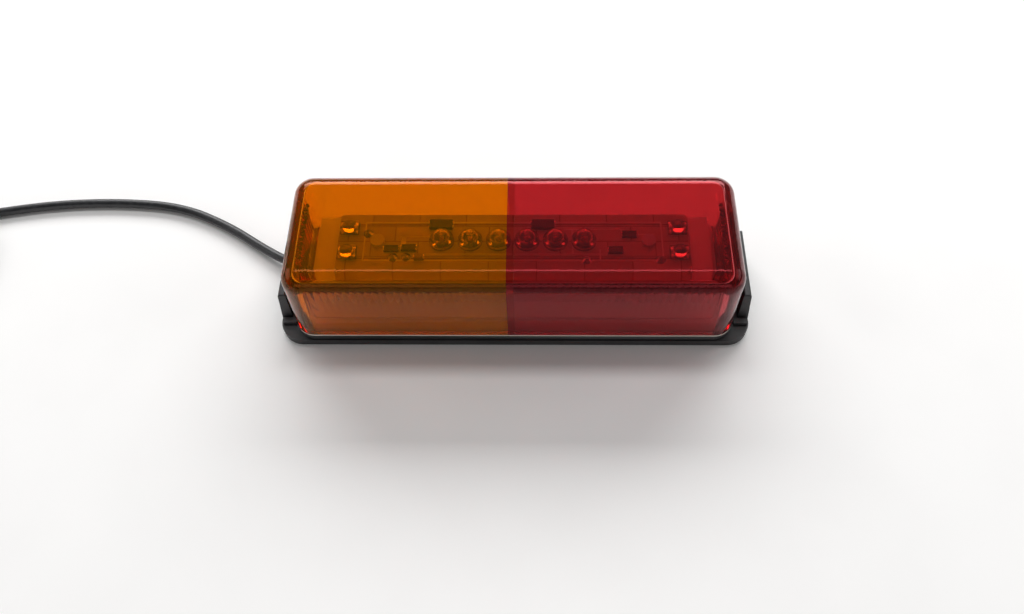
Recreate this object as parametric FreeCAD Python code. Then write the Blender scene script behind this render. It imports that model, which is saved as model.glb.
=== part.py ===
import FreeCAD, Part
import math
import os

# Thin-line LED marker lamp, half amber and half red, in its black snap-in bracket.
# Frame: millimetres. X runs along the lamp with the amber half at -X and the red half at +X,
# Y runs across it, and Z points out through the lens. The origin is the middle of the
# bracket's mounting face. The single lead leaves at the amber end.

# ---------------------------------------------------------------- driving dimensions
# Lens: a drafted, thin-walled box, open below, moulded as two halves
LENS_LENGTH = 95.5          # at the open bottom edge
LENS_WIDTH = 29.8           # at the open bottom edge
LENS_HEIGHT = 20.1
LENS_DRAFT = 0.6            # how far each wall leans in between bottom and top
LENS_CORNER_R = 4.3
LENS_EDGE_R = 3.8           # round along the top edge
SIDE_WALL = 2.2
END_WALL = 2.8              # thicker, because it carries the flutes
TOP_WALL = 2.2
SEAM_WIDTH = 1.5            # fused zone between the two halves
SEAM_X = -0.35              # its middle, a little towards the amber end

# Lamp base, which closes the lens from below
SKIRT_HEIGHT = 1.6          # the base's outer flange
SEAL_HEIGHT = 0.4           # sealing bead between flange and lens
RIM_CLEARANCE = 0.25        # base rim inside the lens walls
RIM_WALL = 1.4
RIM_HEIGHT = 3.4            # above the flange
FLOOR_UNDERSIDE = 2.6       # above the lamp's seat: room for screw heads and the lead
FLOOR_THICKNESS = 1.6
TRAY_THICKNESS = 0.8        # white reflector sheet on the floor
TRAY_CLEARANCE = 0.2

# Snap joint between lamp and bracket
LUG_REACH = 0.8
LUG_WIDTH = 10.0
LUG_HEIGHT = 2.6
TAB_GAP = 0.85              # lug face to tab
CATCH_CLEARANCE = 0.1       # catch tip to lug face
CATCH_WIDTH = 9.0
CATCH_HEIGHT = 2.4
CATCH_ROOT = 0.2            # how far the catch reaches into the tab

# Bracket
PLATE_THICKNESS = 2.0
PLATE_MARGIN = 0.3          # plate edge beyond the lens, each side
PLATE_CORNER_R = 5.0
TAB_TOP = 10.0              # tab height above the mounting face
TAB_TOP_WIDTH = 17.0
TAB_FOOT_WIDTH = 19.0
TAB_TOP_THICKNESS = 1.6
TAB_FOOT_THICKNESS = 2.3
TAB_EDGE_R = 0.4
RIB_OFFSET = 9.9            # locating ribs beside the tabs, from the middle line
RIB_WIDTH = 1.4
RIB_HEIGHT = 1.0
RIB_LENGTH = 3.0
RIB_SETBACK = 0.46          # rib end to the end of the plate
SCREW_SPACING = 50.8
SCREW_HOLE_R = 2.4

# Ground strip and its rivet, on the bracket
STRIP_WIDTH = 6.0
STRIP_THICKNESS = 0.4
STRIP_EYE_R = 4.6
STRIP_END_X = 6.0
RIVET_X = 9.0
RIVET_R = 1.2
RIVET_HEAD_R = 2.0
RIVET_HEAD = 0.6

# Ground contact, under the lamp
CONTACT_X = 18.0
CONTACT_WIDTH = 4.0
CONTACT_THICKNESS = 0.4
CONTACT_FOOT = 5.0
CONTACT_REACH = 3.0         # finger tip beyond the foot
CONTACT_TIP = 1.6           # flat part that presses on the strip
CONTACT_TIP_TOP = 1.3
CONTACT_PIN_R = 0.8
CONTACT_PIN_CLEARANCE = 0.15
CONTACT_PIN_RISE = 1.0      # above the reflector tray, where the ground lead is soldered on

# Circuit board on its carrier
CARRIER_LENGTH = 74.8
CARRIER_WIDTH = 14.4
CARRIER_WALL = 1.5
CARRIER_CORNER_R = 1.0
BOARD_TOP = 17.4            # above the bracket's mounting face
BOARD_THICKNESS = 1.4
BOARD_CORNER_R = 0.7
BOARD_MARGIN = 0.3          # carrier beyond the board, each side
END_REFLECTOR_LENGTH = 4.2
END_REFLECTOR_GAP = 0.1
STAKE_X = 28.6
STAKE_R = 1.0
STAKE_HEAD_R = 1.5
STAKE_HEAD = 0.7
STAKE_CLEARANCE = 0.1

# Light sources and other parts on the board
LED_R = 2.35
LED_PITCH = 6.0
LED_BASE = 0.8
LED_BASE_R = 2.65
END_LED_X = 34.8
END_LED_Y = 3.1
END_LED_SIZE = 4.0
END_LED_WIDTH = 3.1
END_LED_BASE = 0.9
END_LED_DOME_R = 1.55
DIODE_SIZE = (5.0, 2.2, 1.0)
DIODE_PLACES = ((-15.3, 4.0), (6.4, 4.0))
RESISTOR_SIZE = (3.1, 1.6, 0.55)
RESISTOR_PLACES = ((-25.6, -2.0), (-21.9, -1.8), (21.6, -2.4), (24.6, 1.6))
CAPACITOR_SIZE = (2.0, 1.3, 1.1)
CAPACITOR_PLACE = (-19.6, -4.3)
LEAD_PAD = (-30.8, 2.0)     # where the power lead comes up under the board
LEAD_CLEARANCE = 0.1
SOLDER_R = 1.1
SOLDER_HEIGHT = 0.7
SOLDER_PLACES = ((-30.8, 2.0), (15.5, -4.6), (-25.1, -4.1), (-22.4, -4.0), (30.8, -4.6))

# Lead: one insulated wire
WIRE_R = 1.05
CONDUCTOR_R = 0.55
STRIPPED_LENGTH = 8.0
GROMMET_LENGTH = 4.4
GROMMET_WIDTH = 3.6
GROMMET_PROUD = 0.15        # grommet's outer face beyond the lens
GROMMET_DEPTH = 2.6
NOTCH_CLEARANCE = 0.15
WIRE_EXIT_Y = 3.6
EXIT_TURN = 17.6            # degrees between the wire's way out and the lamp's length
WIRE_EXIT_RISE = 0.2        # wire's middle above the top of the bracket's plate
GROOVE_DEPTH = 1.3
GROOVE_SPAN = (-0.8, 7.0)   # across the lamp
GROOVE_INNER_X = -34.5
SLOT_SPAN = (2.3, 7.0)      # opening in the tab, across the lamp
LEAD_BEND_R = 1.2
LEAD_PAD_RUN = (4.0, 0.3)   # last level run before the lead climbs to its pad
LEAD_STRAIGHT = 3.5         # beyond the grommet, before the lead climbs

# Free route of the wire: out of the exit, down to the surface and along it (hand-chosen points)
FREE_ROUTE = (
    (-52.0, 4.9, 2.2),
    (-59.0, 9.25, 1.3),
    (-68.5, 15.8, 1.1),
    (-81.0, 21.6, 1.1),
    (-96.0, 23.1, 1.1),
    (-112.0, 22.6, 1.1),
    (-127.0, 20.1, 1.1),
    (-136.7, 17.7, 1.4),
)
# Spare length, wound up
COIL_CENTRE = (-137.0, 4.7)
COIL_INNER_TURN_R = 10.5
COIL_OUTER_TURN_R = 12.6
COIL_LIFT = 0.45            # the tie passes under the turns
COIL_HEIGHT = 4.0
TIE_THICKNESS = 0.4
TIE_WIDTH = 3.0
TIE_ANGLE = 250.0
TAIL_ROUTE = (
    (-148.5, 1.0, 3.3),
    (-148.7, -5.0, 3.3),
    (-149.4, -10.5, 1.9),
    (-149.1, -16.0, 1.1),
    (-147.7, -21.0, 1.1),
)

# ---------------------------------------------------------------- values that follow
seat_z = PLATE_THICKNESS
flange_z = seat_z + SKIRT_HEIGHT
lens_z = flange_z + SEAL_HEIGHT
lens_top_z = lens_z + LENS_HEIGHT
lens_half = LENS_LENGTH / 2
floor_z = seat_z + FLOOR_UNDERSIDE
floor_top_z = floor_z + FLOOR_THICKNESS
tray_top_z = floor_top_z + TRAY_THICKNESS
board_z = BOARD_TOP - BOARD_THICKNESS
tab_inner = lens_half + LUG_REACH + TAB_GAP
bracket_half = tab_inner + TAB_FOOT_THICKNESS
rim_length = LENS_LENGTH - 2 * END_WALL - 2 * RIM_CLEARANCE
rim_width = LENS_WIDTH - 2 * SIDE_WALL - 2 * RIM_CLEARANCE
well_length = rim_length - 2 * RIM_WALL
well_width = rim_width - 2 * RIM_WALL
cavity_r = LENS_CORNER_R - SIDE_WALL
wire_z = seat_z + WIRE_EXIT_RISE
wire_exit = (-lens_half - GROMMET_PROUD, WIRE_EXIT_Y, wire_z)

CUT_MARGIN = 1.0            # how far a cutting tool stands out of the body it cuts

os.makedirs("parts", exist_ok=True)


# ---------------------------------------------------------------- helpers
def vec(p):
    return FreeCAD.Vector(*p)


def rounded_rectangle(length, width, radius, z):
    """Closed wire, centred on the origin."""
    a, b = length / 2, width / 2
    k = radius * (1 - math.sqrt(0.5))
    corners = (
        ((a, b - radius), (a - k, b - k), (a - radius, b)),
        ((-a + radius, b), (-a + k, b - k), (-a, b - radius)),
        ((-a, -b + radius), (-a + k, -b + k), (-a + radius, -b)),
        ((a - radius, -b), (a - k, -b + k), (a, -b + radius)),
    )
    edges = []
    for i, corner in enumerate(corners):
        start, middle, end = [FreeCAD.Vector(x, y, z) for x, y in corner]
        edges.append(Part.Arc(start, middle, end).toShape())
        following = corners[(i + 1) % 4][0]
        edges.append(Part.LineSegment(end, FreeCAD.Vector(following[0], following[1], z)).toShape())
    return Part.Wire(edges)


def prism(length, width, radius, z0, z1):
    """Upright rounded plate between two heights."""
    face = Part.Face(rounded_rectangle(length, width, radius, z0))
    return face.extrude(FreeCAD.Vector(0, 0, z1 - z0))


def box(x0, x1, y0, y1, z0, z1):
    return Part.makeBox(x1 - x0, y1 - y0, z1 - z0, FreeCAD.Vector(x0, y0, z0))


def cylinder(x, y, radius, z0, z1):
    return Part.makeCylinder(radius, z1 - z0, FreeCAD.Vector(x, y, z0))


def drafted_block(length, width, radius, z0, z1, edge_radius):
    """Rounded block whose walls lean in at the lens's draft, with a rounded top edge."""
    lean = LENS_DRAFT * (z1 - z0) / LENS_HEIGHT
    low = rounded_rectangle(length, width, radius, z0)
    high = rounded_rectangle(length - 2 * lean, width - 2 * lean, radius, z1)
    block = Part.makeLoft([low, high], True, True)
    rim = [e for e in block.Edges if all(abs(v.Z - z1) < 1e-6 for v in e.Vertexes)]
    return block.makeFillet(edge_radius, rim)


def across(profile, y0, y1):
    """Extrude a closed outline of (x, z) points across the lamp."""
    points = [FreeCAD.Vector(x, y0, z) for x, z in profile]
    face = Part.Face(Part.makePolygon(points + points[:1]))
    return face.extrude(FreeCAD.Vector(0, y1 - y0, 0))


def both_ends(shape):
    """The shape and its twin at the other end of the lamp."""
    twin = shape.copy()
    twin.rotate(FreeCAD.Vector(0, 0, 0), FreeCAD.Vector(0, 0, 1), 180)
    return [shape, twin]


def tube(name, points, radius, bend=None):
    """Round tube along straight runs joined by tangent arcs."""
    corners = [vec(p) for p in points]
    edges, start = [], corners[0]
    for i in range(1, len(corners) - 1):
        back = corners[i - 1] - corners[i]
        ahead = corners[i + 1] - corners[i]
        turn = math.pi - back.getAngle(ahead)
        reach = 0.45 * min(back.Length, ahead.Length)
        arc_r = reach / math.tan(turn / 2)
        if bend:
            arc_r, reach = bend, bend * math.tan(turn / 2)
        print(f"{name}: point {i}, turn {math.degrees(turn):.1f} deg, radius {arc_r:.1f} mm")
        back.normalize()
        ahead.normalize()
        first = corners[i] + back * reach
        last = corners[i] + ahead * reach
        inward = (back + ahead).normalize()
        middle = corners[i] + inward * (arc_r / math.cos(turn / 2) - arc_r)
        edges.append(Part.LineSegment(start, first).toShape())
        edges.append(Part.Arc(first, middle, last).toShape())
        start = last
    edges.append(Part.LineSegment(start, corners[-1]).toShape())
    path = Part.Wire(edges)
    length = path.Length
    along = corners[1] - corners[0]
    section = Part.Wire([Part.makeCircle(radius, corners[0], along)])
    solid = path.makePipeShell([section], True, True)
    expected = math.pi * radius**2 * length
    print(f"{name}: length {length:.1f} mm, volume {solid.Volume:.2f}, expected {expected:.2f} mm3")
    return solid


def save(name, shape):
    solids = shape.Solids
    assert solids and all(s.isValid() for s in solids), name
    kept = solids[0] if len(solids) == 1 else Part.makeCompound(solids)
    kept.exportStep(f"parts/{name}.step")


# ---------------------------------------------------------------- bracket
def tab():
    """End tab at +X: leans outwards to its foot, with a snap catch on its inner face."""
    profile = (
        (tab_inner, 0),
        (tab_inner + TAB_FOOT_THICKNESS, 0),
        (tab_inner + TAB_FOOT_THICKNESS, PLATE_THICKNESS),
        (tab_inner + TAB_TOP_THICKNESS, TAB_TOP),
        (tab_inner, TAB_TOP),
    )
    upright = across(profile, -TAB_FOOT_WIDTH / 2, TAB_FOOT_WIDTH / 2)
    outline = [
        FreeCAD.Vector(tab_inner - CUT_MARGIN, y, z)
        for y, z in (
            (-TAB_FOOT_WIDTH / 2, 0),
            (TAB_FOOT_WIDTH / 2, 0),
            (TAB_FOOT_WIDTH / 2, PLATE_THICKNESS),
            (TAB_TOP_WIDTH / 2, TAB_TOP),
            (-TAB_TOP_WIDTH / 2, TAB_TOP),
            (-TAB_FOOT_WIDTH / 2, PLATE_THICKNESS),
        )
    ]
    side_view = Part.Face(Part.makePolygon(outline + outline[:1]))
    upright = upright.common(side_view.extrude(FreeCAD.Vector(TAB_FOOT_THICKNESS + 2 * CUT_MARGIN, 0, 0)))
    top = [e for e in upright.Edges if all(abs(v.Z - TAB_TOP) < 1e-6 for v in e.Vertexes)]
    upright = upright.makeFillet(TAB_EDGE_R, top)
    reach = TAB_GAP - CATCH_CLEARANCE
    catch_z = seat_z + LUG_HEIGHT + CATCH_CLEARANCE
    wedge = (
        (tab_inner + CATCH_ROOT, catch_z),
        (tab_inner - reach, catch_z + reach / 2),
        (tab_inner - reach, catch_z + reach),
        (tab_inner + CATCH_ROOT, catch_z + CATCH_HEIGHT),
    )
    return upright.fuse(across(wedge, -CATCH_WIDTH / 2, CATCH_WIDTH / 2))


def rivet_seat():
    """Through hole and lower recess for the ground strip's rivet."""
    hole = cylinder(RIVET_X, 0, RIVET_R, 0, PLATE_THICKNESS)
    return hole.fuse(cylinder(RIVET_X, 0, RIVET_HEAD_R, 0, RIVET_HEAD))


def make_bracket():
    width = LENS_WIDTH + 2 * PLATE_MARGIN
    body = prism(2 * bracket_half, width, PLATE_CORNER_R, 0, PLATE_THICKNESS)
    rib_end = bracket_half - RIB_SETBACK
    for side in (-1, 1):
        y0, y1 = sorted((side * RIB_OFFSET, side * (RIB_OFFSET + RIB_WIDTH)))
        rib = box(rib_end - RIB_LENGTH, rib_end, y0, y1, 0, PLATE_THICKNESS + RIB_HEIGHT)
        for piece in both_ends(rib):
            body = body.fuse(piece)
    for piece in both_ends(tab()):
        body = body.fuse(piece)
    for x in (-SCREW_SPACING / 2, SCREW_SPACING / 2):
        body = body.cut(cylinder(x, 0, SCREW_HOLE_R, -CUT_MARGIN, PLATE_THICKNESS + CUT_MARGIN))
    body = body.cut(rivet_seat())
    groove_z = PLATE_THICKNESS - GROOVE_DEPTH
    outside = -bracket_half - CUT_MARGIN
    body = body.cut(box(outside, GROOVE_INNER_X, *GROOVE_SPAN, groove_z, PLATE_THICKNESS + 0.01))
    slot_end = -tab_inner + CUT_MARGIN
    body = body.cut(box(outside, slot_end, *SLOT_SPAN, groove_z, TAB_TOP + CUT_MARGIN))
    save("bracket", body.removeSplitter())


def make_ground_strip():
    """Tinned brass strip from one screw hole to the place where the lamp's contact presses."""
    z0, z1 = seat_z, seat_z + STRIP_THICKNESS
    eye_x = SCREW_SPACING / 2
    strip = box(STRIP_END_X, eye_x, -STRIP_WIDTH / 2, STRIP_WIDTH / 2, z0, z1)
    strip = strip.fuse(cylinder(eye_x, 0, STRIP_EYE_R, z0, z1))
    strip = strip.cut(cylinder(eye_x, 0, SCREW_HOLE_R, z0 - CUT_MARGIN, z1 + CUT_MARGIN))
    strip = strip.cut(cylinder(RIVET_X, 0, RIVET_R, z0 - CUT_MARGIN, z1 + CUT_MARGIN))
    save("ground_strip", strip.removeSplitter())
    head_z = z1
    rivet = rivet_seat()
    rivet = rivet.fuse(cylinder(RIVET_X, 0, RIVET_R, PLATE_THICKNESS, head_z))
    rivet = rivet.fuse(cylinder(RIVET_X, 0, RIVET_HEAD_R, head_z, head_z + RIVET_HEAD))
    save("ground_rivet", rivet.removeSplitter())


# ---------------------------------------------------------------- lens
def make_lens():
    outer = drafted_block(LENS_LENGTH, LENS_WIDTH, LENS_CORNER_R, lens_z, lens_top_z, LENS_EDGE_R)
    cavity = drafted_block(
        LENS_LENGTH - 2 * END_WALL,
        LENS_WIDTH - 2 * SIDE_WALL,
        cavity_r,
        lens_z,
        lens_top_z - TOP_WALL,
        LENS_EDGE_R - TOP_WALL,
    )
    shell = outer.cut(cavity)
    far = LENS_LENGTH
    seam_start = SEAM_X - SEAM_WIDTH / 2
    seam_end = SEAM_X + SEAM_WIDTH / 2
    save("lens_amber", shell.common(box(-far, seam_start, -far, far, 0, far)))
    save("lens_red", shell.common(box(seam_end, far, -far, far, 0, far)))
    save("lens_weld_seam", shell.common(box(seam_start, seam_end, -far, far, 0, far)))


# ---------------------------------------------------------------- lamp base
def inward_direction():
    """Level direction of the wire where it passes the grommet, pointing into the lamp."""
    turn = math.radians(EXIT_TURN)
    return FreeCAD.Vector(math.cos(turn), -math.sin(turn), 0)


def along_exit(x0, x1, half_width, z0, z1):
    """Block in line with the wire's first run, x measured inwards from the exit."""
    block = box(x0, x1, -half_width, half_width, z0, z1)
    block.rotate(FreeCAD.Vector(0, 0, 0), FreeCAD.Vector(0, 0, 1), -EXIT_TURN)
    block.translate(FreeCAD.Vector(wire_exit[0], wire_exit[1], 0))
    return block


def make_base():
    base = prism(LENS_LENGTH, LENS_WIDTH, LENS_CORNER_R, seat_z, flange_z)
    base = base.fuse(prism(rim_length, rim_width, cavity_r, seat_z, flange_z + RIM_HEIGHT))
    base = base.cut(prism(well_length, well_width, cavity_r / 2, seat_z - CUT_MARGIN, floor_z))
    base = base.cut(prism(well_length, well_width, cavity_r / 2, floor_top_z, lens_top_z))
    lug_end = lens_half + LUG_REACH
    half = LUG_WIDTH / 2
    lug = box(lens_half - CUT_MARGIN, lug_end, -half, half, seat_z, flange_z)
    lug = lug.fuse(box(lens_half, lug_end, -half, half, flange_z, seat_z + LUG_HEIGHT))
    for piece in both_ends(lug):
        base = base.fuse(piece)
    notch_half = GROMMET_WIDTH / 2 + NOTCH_CLEARANCE
    notch_start = -LUG_REACH - CUT_MARGIN
    notch_end = GROMMET_LENGTH + RIM_WALL
    base = base.cut(along_exit(notch_start, notch_end, notch_half, seat_z - CUT_MARGIN, flange_z))
    base = base.cut(lead_hole())
    pin_hole_r = CONTACT_PIN_R + CONTACT_PIN_CLEARANCE
    base = base.cut(cylinder(CONTACT_X, 0, pin_hole_r, seat_z, lens_top_z))
    save("lamp_base", base.removeSplitter())


def lead_hole():
    return cylinder(*LEAD_PAD, WIRE_R + LEAD_CLEARANCE, seat_z, board_z)


def make_seal():
    outer = prism(LENS_LENGTH, LENS_WIDTH, LENS_CORNER_R, flange_z, lens_z)
    inner = prism(
        LENS_LENGTH - 2 * END_WALL,
        LENS_WIDTH - 2 * SIDE_WALL,
        cavity_r,
        flange_z - CUT_MARGIN,
        lens_z + CUT_MARGIN,
    )
    save("lens_seal", outer.cut(inner))


def make_tray():
    length = well_length - 2 * TRAY_CLEARANCE
    width = well_width - 2 * TRAY_CLEARANCE
    tray = prism(length, width, cavity_r / 2, floor_top_z, tray_top_z)
    tray = tray.cut(lead_hole())
    pin_hole_r = CONTACT_PIN_R + CONTACT_PIN_CLEARANCE
    tray = tray.cut(cylinder(CONTACT_X, 0, pin_hole_r, seat_z, lens_top_z))
    save("reflector_tray", tray)


def make_ground_contact():
    """Sprung brass finger under the lamp with a pin up through the floor."""
    t = CONTACT_THICKNESS
    touch_z = seat_z + STRIP_THICKNESS
    end_x = CONTACT_X - CONTACT_FOOT / 2
    tip_x = end_x - CONTACT_REACH
    finger = (
        (CONTACT_X + CONTACT_FOOT / 2, floor_z),
        (CONTACT_X + CONTACT_FOOT / 2, floor_z - t),
        (end_x + t, floor_z - t),
        (tip_x + CONTACT_TIP, touch_z),
        (tip_x, touch_z),
        (tip_x, touch_z + t),
        (tip_x + CONTACT_TIP_TOP, touch_z + t),
        (end_x, floor_z),
    )
    contact = across(finger, -CONTACT_WIDTH / 2, CONTACT_WIDTH / 2)
    pin = cylinder(CONTACT_X, 0, CONTACT_PIN_R, floor_z - t, tray_top_z + CONTACT_PIN_RISE)
    contact = contact.fuse(pin)
    save("ground_contact", contact.removeSplitter())


# ---------------------------------------------------------------- light module
def make_carrier():
    half = CARRIER_LENGTH / 2
    carrier = prism(CARRIER_LENGTH, CARRIER_WIDTH, CARRIER_CORNER_R, tray_top_z, board_z)
    inside = CARRIER_WIDTH / 2 - CARRIER_WALL
    carrier = carrier.cut(
        box(-half + CARRIER_WALL, half - CARRIER_WALL, -inside, inside, 0, board_z - CARRIER_WALL)
    )
    for x in (-STAKE_X, STAKE_X):
        carrier = carrier.fuse(cylinder(x, 0, STAKE_R, board_z - CUT_MARGIN, BOARD_TOP))
        carrier = carrier.fuse(cylinder(x, 0, STAKE_HEAD_R, BOARD_TOP, BOARD_TOP + STAKE_HEAD))
    carrier = carrier.cut(lead_hole())
    pin_hole_r = CONTACT_PIN_R + CONTACT_PIN_CLEARANCE
    carrier = carrier.cut(cylinder(CONTACT_X, 0, pin_hole_r, seat_z, board_z))
    save("led_carrier", carrier.removeSplitter())


def make_board():
    length = CARRIER_LENGTH - 2 * BOARD_MARGIN
    width = CARRIER_WIDTH - 2 * BOARD_MARGIN
    board = prism(length, width, BOARD_CORNER_R, board_z, BOARD_TOP)
    for x in (-STAKE_X, STAKE_X):
        board = board.cut(cylinder(x, 0, STAKE_R + STAKE_CLEARANCE, 0, lens_top_z))
    save("circuit_board", board)


def make_end_reflectors():
    x0 = CARRIER_LENGTH / 2 + END_REFLECTOR_GAP
    x1 = x0 + END_REFLECTOR_LENGTH
    half = CARRIER_WIDTH / 2
    block = box(x0, x1, -half, half, tray_top_z, board_z)
    for name, piece in zip(("end_reflector_red", "end_reflector_amber"), both_ends(block)):
        save(name, piece)


def led(x, y):
    """Round domed emitter on a short flange."""
    flange = cylinder(x, y, LED_BASE_R, BOARD_TOP, BOARD_TOP + LED_BASE)
    dome = Part.makeSphere(LED_R, FreeCAD.Vector(x, y, BOARD_TOP + LED_BASE))
    dome = dome.common(cylinder(x, y, LED_R, BOARD_TOP + LED_BASE, BOARD_TOP + LED_BASE + LED_R))
    return flange.fuse(dome).removeSplitter()


def end_led(x, y):
    """Square surface-mount emitter with a small dome."""
    half = END_LED_SIZE / 2
    half_width = END_LED_WIDTH / 2
    base_top = BOARD_TOP + END_LED_BASE
    body = box(x - half, x + half, y - half_width, y + half_width, BOARD_TOP, base_top)
    dome = Part.makeSphere(END_LED_DOME_R, FreeCAD.Vector(x, y, base_top))
    dome = dome.common(cylinder(x, y, END_LED_DOME_R, base_top, base_top + END_LED_DOME_R))
    return body.fuse(dome)


def make_leds():
    for colour, side in (("amber", -1), ("red", 1)):
        for i in range(3):
            save(f"led_{colour}_{i + 1}", led(side * LED_PITCH * (i + 0.5), 0))
        for i, y in enumerate((-END_LED_Y, END_LED_Y)):
            save(f"led_{colour}_end_{i + 1}", end_led(side * END_LED_X, y))


def chip(place, size):
    x, y = place
    length, width, height = size
    body = Part.makeBox(length, width, height, FreeCAD.Vector(x - length / 2, y - width / 2, BOARD_TOP))
    return body.makeFillet(height / 6, body.Edges)


def make_board_parts():
    for i, place in enumerate(DIODE_PLACES):
        save(f"diode_{i + 1}", chip(place, DIODE_SIZE))
    for i, place in enumerate(RESISTOR_PLACES):
        save(f"resistor_{i + 1}", chip(place, RESISTOR_SIZE))
    save("capacitor", chip(CAPACITOR_PLACE, CAPACITOR_SIZE))
    joints = []
    for x, y in SOLDER_PLACES:
        foot = FreeCAD.Vector(x, y, BOARD_TOP)
        joints.append(Part.makeCone(SOLDER_R, SOLDER_R / 3, SOLDER_HEIGHT, foot))
    save("solder_joints", Part.makeCompound(joints))


# ---------------------------------------------------------------- leads and cord
def make_leads():
    inward = inward_direction()
    turn_in = vec(wire_exit) + inward * (GROMMET_LENGTH + LEAD_STRAIGHT)
    run_z = (seat_z + floor_z) / 2
    route = (
        wire_exit,
        tuple(turn_in),
        (LEAD_PAD[0] - LEAD_PAD_RUN[0], LEAD_PAD[1] - LEAD_PAD_RUN[1], run_z),
        (*LEAD_PAD, run_z),
        (*LEAD_PAD, board_z),
    )
    save("power_lead", tube("power_lead", route, WIRE_R, LEAD_BEND_R))
    pin_top_z = tray_top_z + CONTACT_PIN_RISE
    save("ground_lead", cylinder(CONTACT_X, 0, CONTACT_PIN_R, pin_top_z, board_z))
    half_depth = GROMMET_DEPTH / 2
    grommet = along_exit(0, GROMMET_LENGTH, GROMMET_WIDTH / 2, wire_z - half_depth, wire_z + half_depth)
    bore = Part.makeCylinder(WIRE_R, GROMMET_LENGTH + 2 * CUT_MARGIN, vec(wire_exit) - inward, inward)
    save("wire_grommet", grommet.cut(bore))


def make_cord():
    save("cord_tube", tube("cord_tube", (wire_exit,) + FREE_ROUTE, WIRE_R))
    cx, cy = COIL_CENTRE
    inner = COIL_INNER_TURN_R - WIRE_R
    outer = COIL_OUTER_TURN_R + WIRE_R
    z0 = COIL_LIFT
    z1 = z0 + COIL_HEIGHT
    ring = cylinder(cx, cy, outer, z0, z1).cut(cylinder(cx, cy, inner, z0 - CUT_MARGIN, z1 + CUT_MARGIN))
    ring = ring.makeFillet(WIRE_R, ring.Edges)
    save("cord_coil", ring)
    t = TIE_THICKNESS
    band = box(inner - t, outer + t, -TIE_WIDTH / 2, TIE_WIDTH / 2, z0 - t, z1 + t)
    band = band.cut(box(inner, outer, -TIE_WIDTH, TIE_WIDTH, z0, z1))
    band.rotate(FreeCAD.Vector(0, 0, 0), FreeCAD.Vector(0, 0, 1), TIE_ANGLE)
    band.translate(FreeCAD.Vector(cx, cy, 0))
    save("cord_tie", band.cut(ring))
    save("cord_tail", tube("cord_tail", TAIL_ROUTE, WIRE_R))
    last = vec(TAIL_ROUTE[-1])
    along = (last - vec(TAIL_ROUTE[-2])).normalize()
    save("cord_bare_end", Part.makeCylinder(CONDUCTOR_R, STRIPPED_LENGTH, last, along))


make_bracket()
make_ground_strip()
make_lens()
make_base()
make_seal()
make_tray()
make_ground_contact()
make_carrier()
make_board()
make_end_reflectors()
make_leds()
make_board_parts()
make_leads()
make_cord()
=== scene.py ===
import math

import bmesh
import bpy
from mathutils import Matrix, Vector


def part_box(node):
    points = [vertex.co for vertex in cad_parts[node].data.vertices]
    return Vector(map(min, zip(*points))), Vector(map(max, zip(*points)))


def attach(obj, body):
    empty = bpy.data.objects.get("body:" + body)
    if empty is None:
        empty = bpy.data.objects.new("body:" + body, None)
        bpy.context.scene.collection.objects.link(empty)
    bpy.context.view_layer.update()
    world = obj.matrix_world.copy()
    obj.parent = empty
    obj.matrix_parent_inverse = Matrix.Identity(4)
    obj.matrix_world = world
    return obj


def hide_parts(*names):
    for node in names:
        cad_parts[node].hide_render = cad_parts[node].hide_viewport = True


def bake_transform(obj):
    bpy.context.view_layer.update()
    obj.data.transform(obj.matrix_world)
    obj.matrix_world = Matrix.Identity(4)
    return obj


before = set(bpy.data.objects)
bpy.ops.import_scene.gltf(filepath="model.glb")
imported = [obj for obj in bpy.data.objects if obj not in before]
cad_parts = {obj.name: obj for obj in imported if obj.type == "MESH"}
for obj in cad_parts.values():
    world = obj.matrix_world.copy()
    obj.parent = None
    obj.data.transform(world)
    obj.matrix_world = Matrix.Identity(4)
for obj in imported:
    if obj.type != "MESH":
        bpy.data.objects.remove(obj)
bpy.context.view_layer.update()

# Thin-line marker lamp, amber half at -X and red half at +X, lens up, in its snap-in bracket.
# Lengths are in metres. MM turns the maker's millimetres into them.
MM = 0.001

# ---- lens: shape that the CAD boxes don't give
LENS_DRAFT = 0.6 * MM
LENS_CORNER_R = 4.3 * MM
LENS_EDGE_R = 3.8 * MM
SIDE_WALL = 2.2 * MM
END_WALL = 2.8 * MM
TOP_WALL = 2.2 * MM
INNER_EDGE_R = 0.45 * MM
SMALLEST_RING_R = 0.15 * MM
LENS_CLARITY = 0.96
# flutes moulded inside its walls
END_FLUTE_PITCH = 1.08 * MM
END_FLUTE_DEPTH = 0.4 * MM
END_FLUTE_HALF_SPAN = 7.0 * MM
SIDE_FLUTE_PITCH = 1.5 * MM
SIDE_FLUTE_DEPTH = 0.08 * MM
FLUTE_FOOT = 11.5 * MM
FLUTE_FADE = 0.9 * MM
# how finely it is drawn, and how near counts as the same place (m)
POINTS_PER_FLUTE = 8
END_POINT_SHARE = 0.8
CORNER_STEPS = 14
OUTER_EDGE_STEPS = 10
INNER_EDGE_STEPS = 6
SAME_PLACE = 1e-6

# ---- air between a clear piece and its neighbour, so that their faces never meet
FOOT_GAP = 0.02 * MM
LIFT = 0.02 * MM

# ---- camera: above the front of the lamp, looking down at its lens
CAMERA_PLACE = (4.5 * MM, -100.7 * MM, 167.6 * MM)
CAMERA_LENS = 29.88
CAMERA_PITCH = math.radians(60.39)
CAMERA_ROLL = math.radians(-2.53)
CAMERA_YAW = math.radians(2.99)


# ================================================================ small tools
def linear(hex_colour, alpha=1.0):
    """sRGB hex to a linear colour."""
    channels = [int(hex_colour[i : i + 2], 16) / 255 for i in (1, 3, 5)]
    curve = [c / 12.92 if c <= 0.04045 else ((c + 0.055) / 1.055) ** 2.4 for c in channels]
    return (*curve, alpha)


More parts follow.
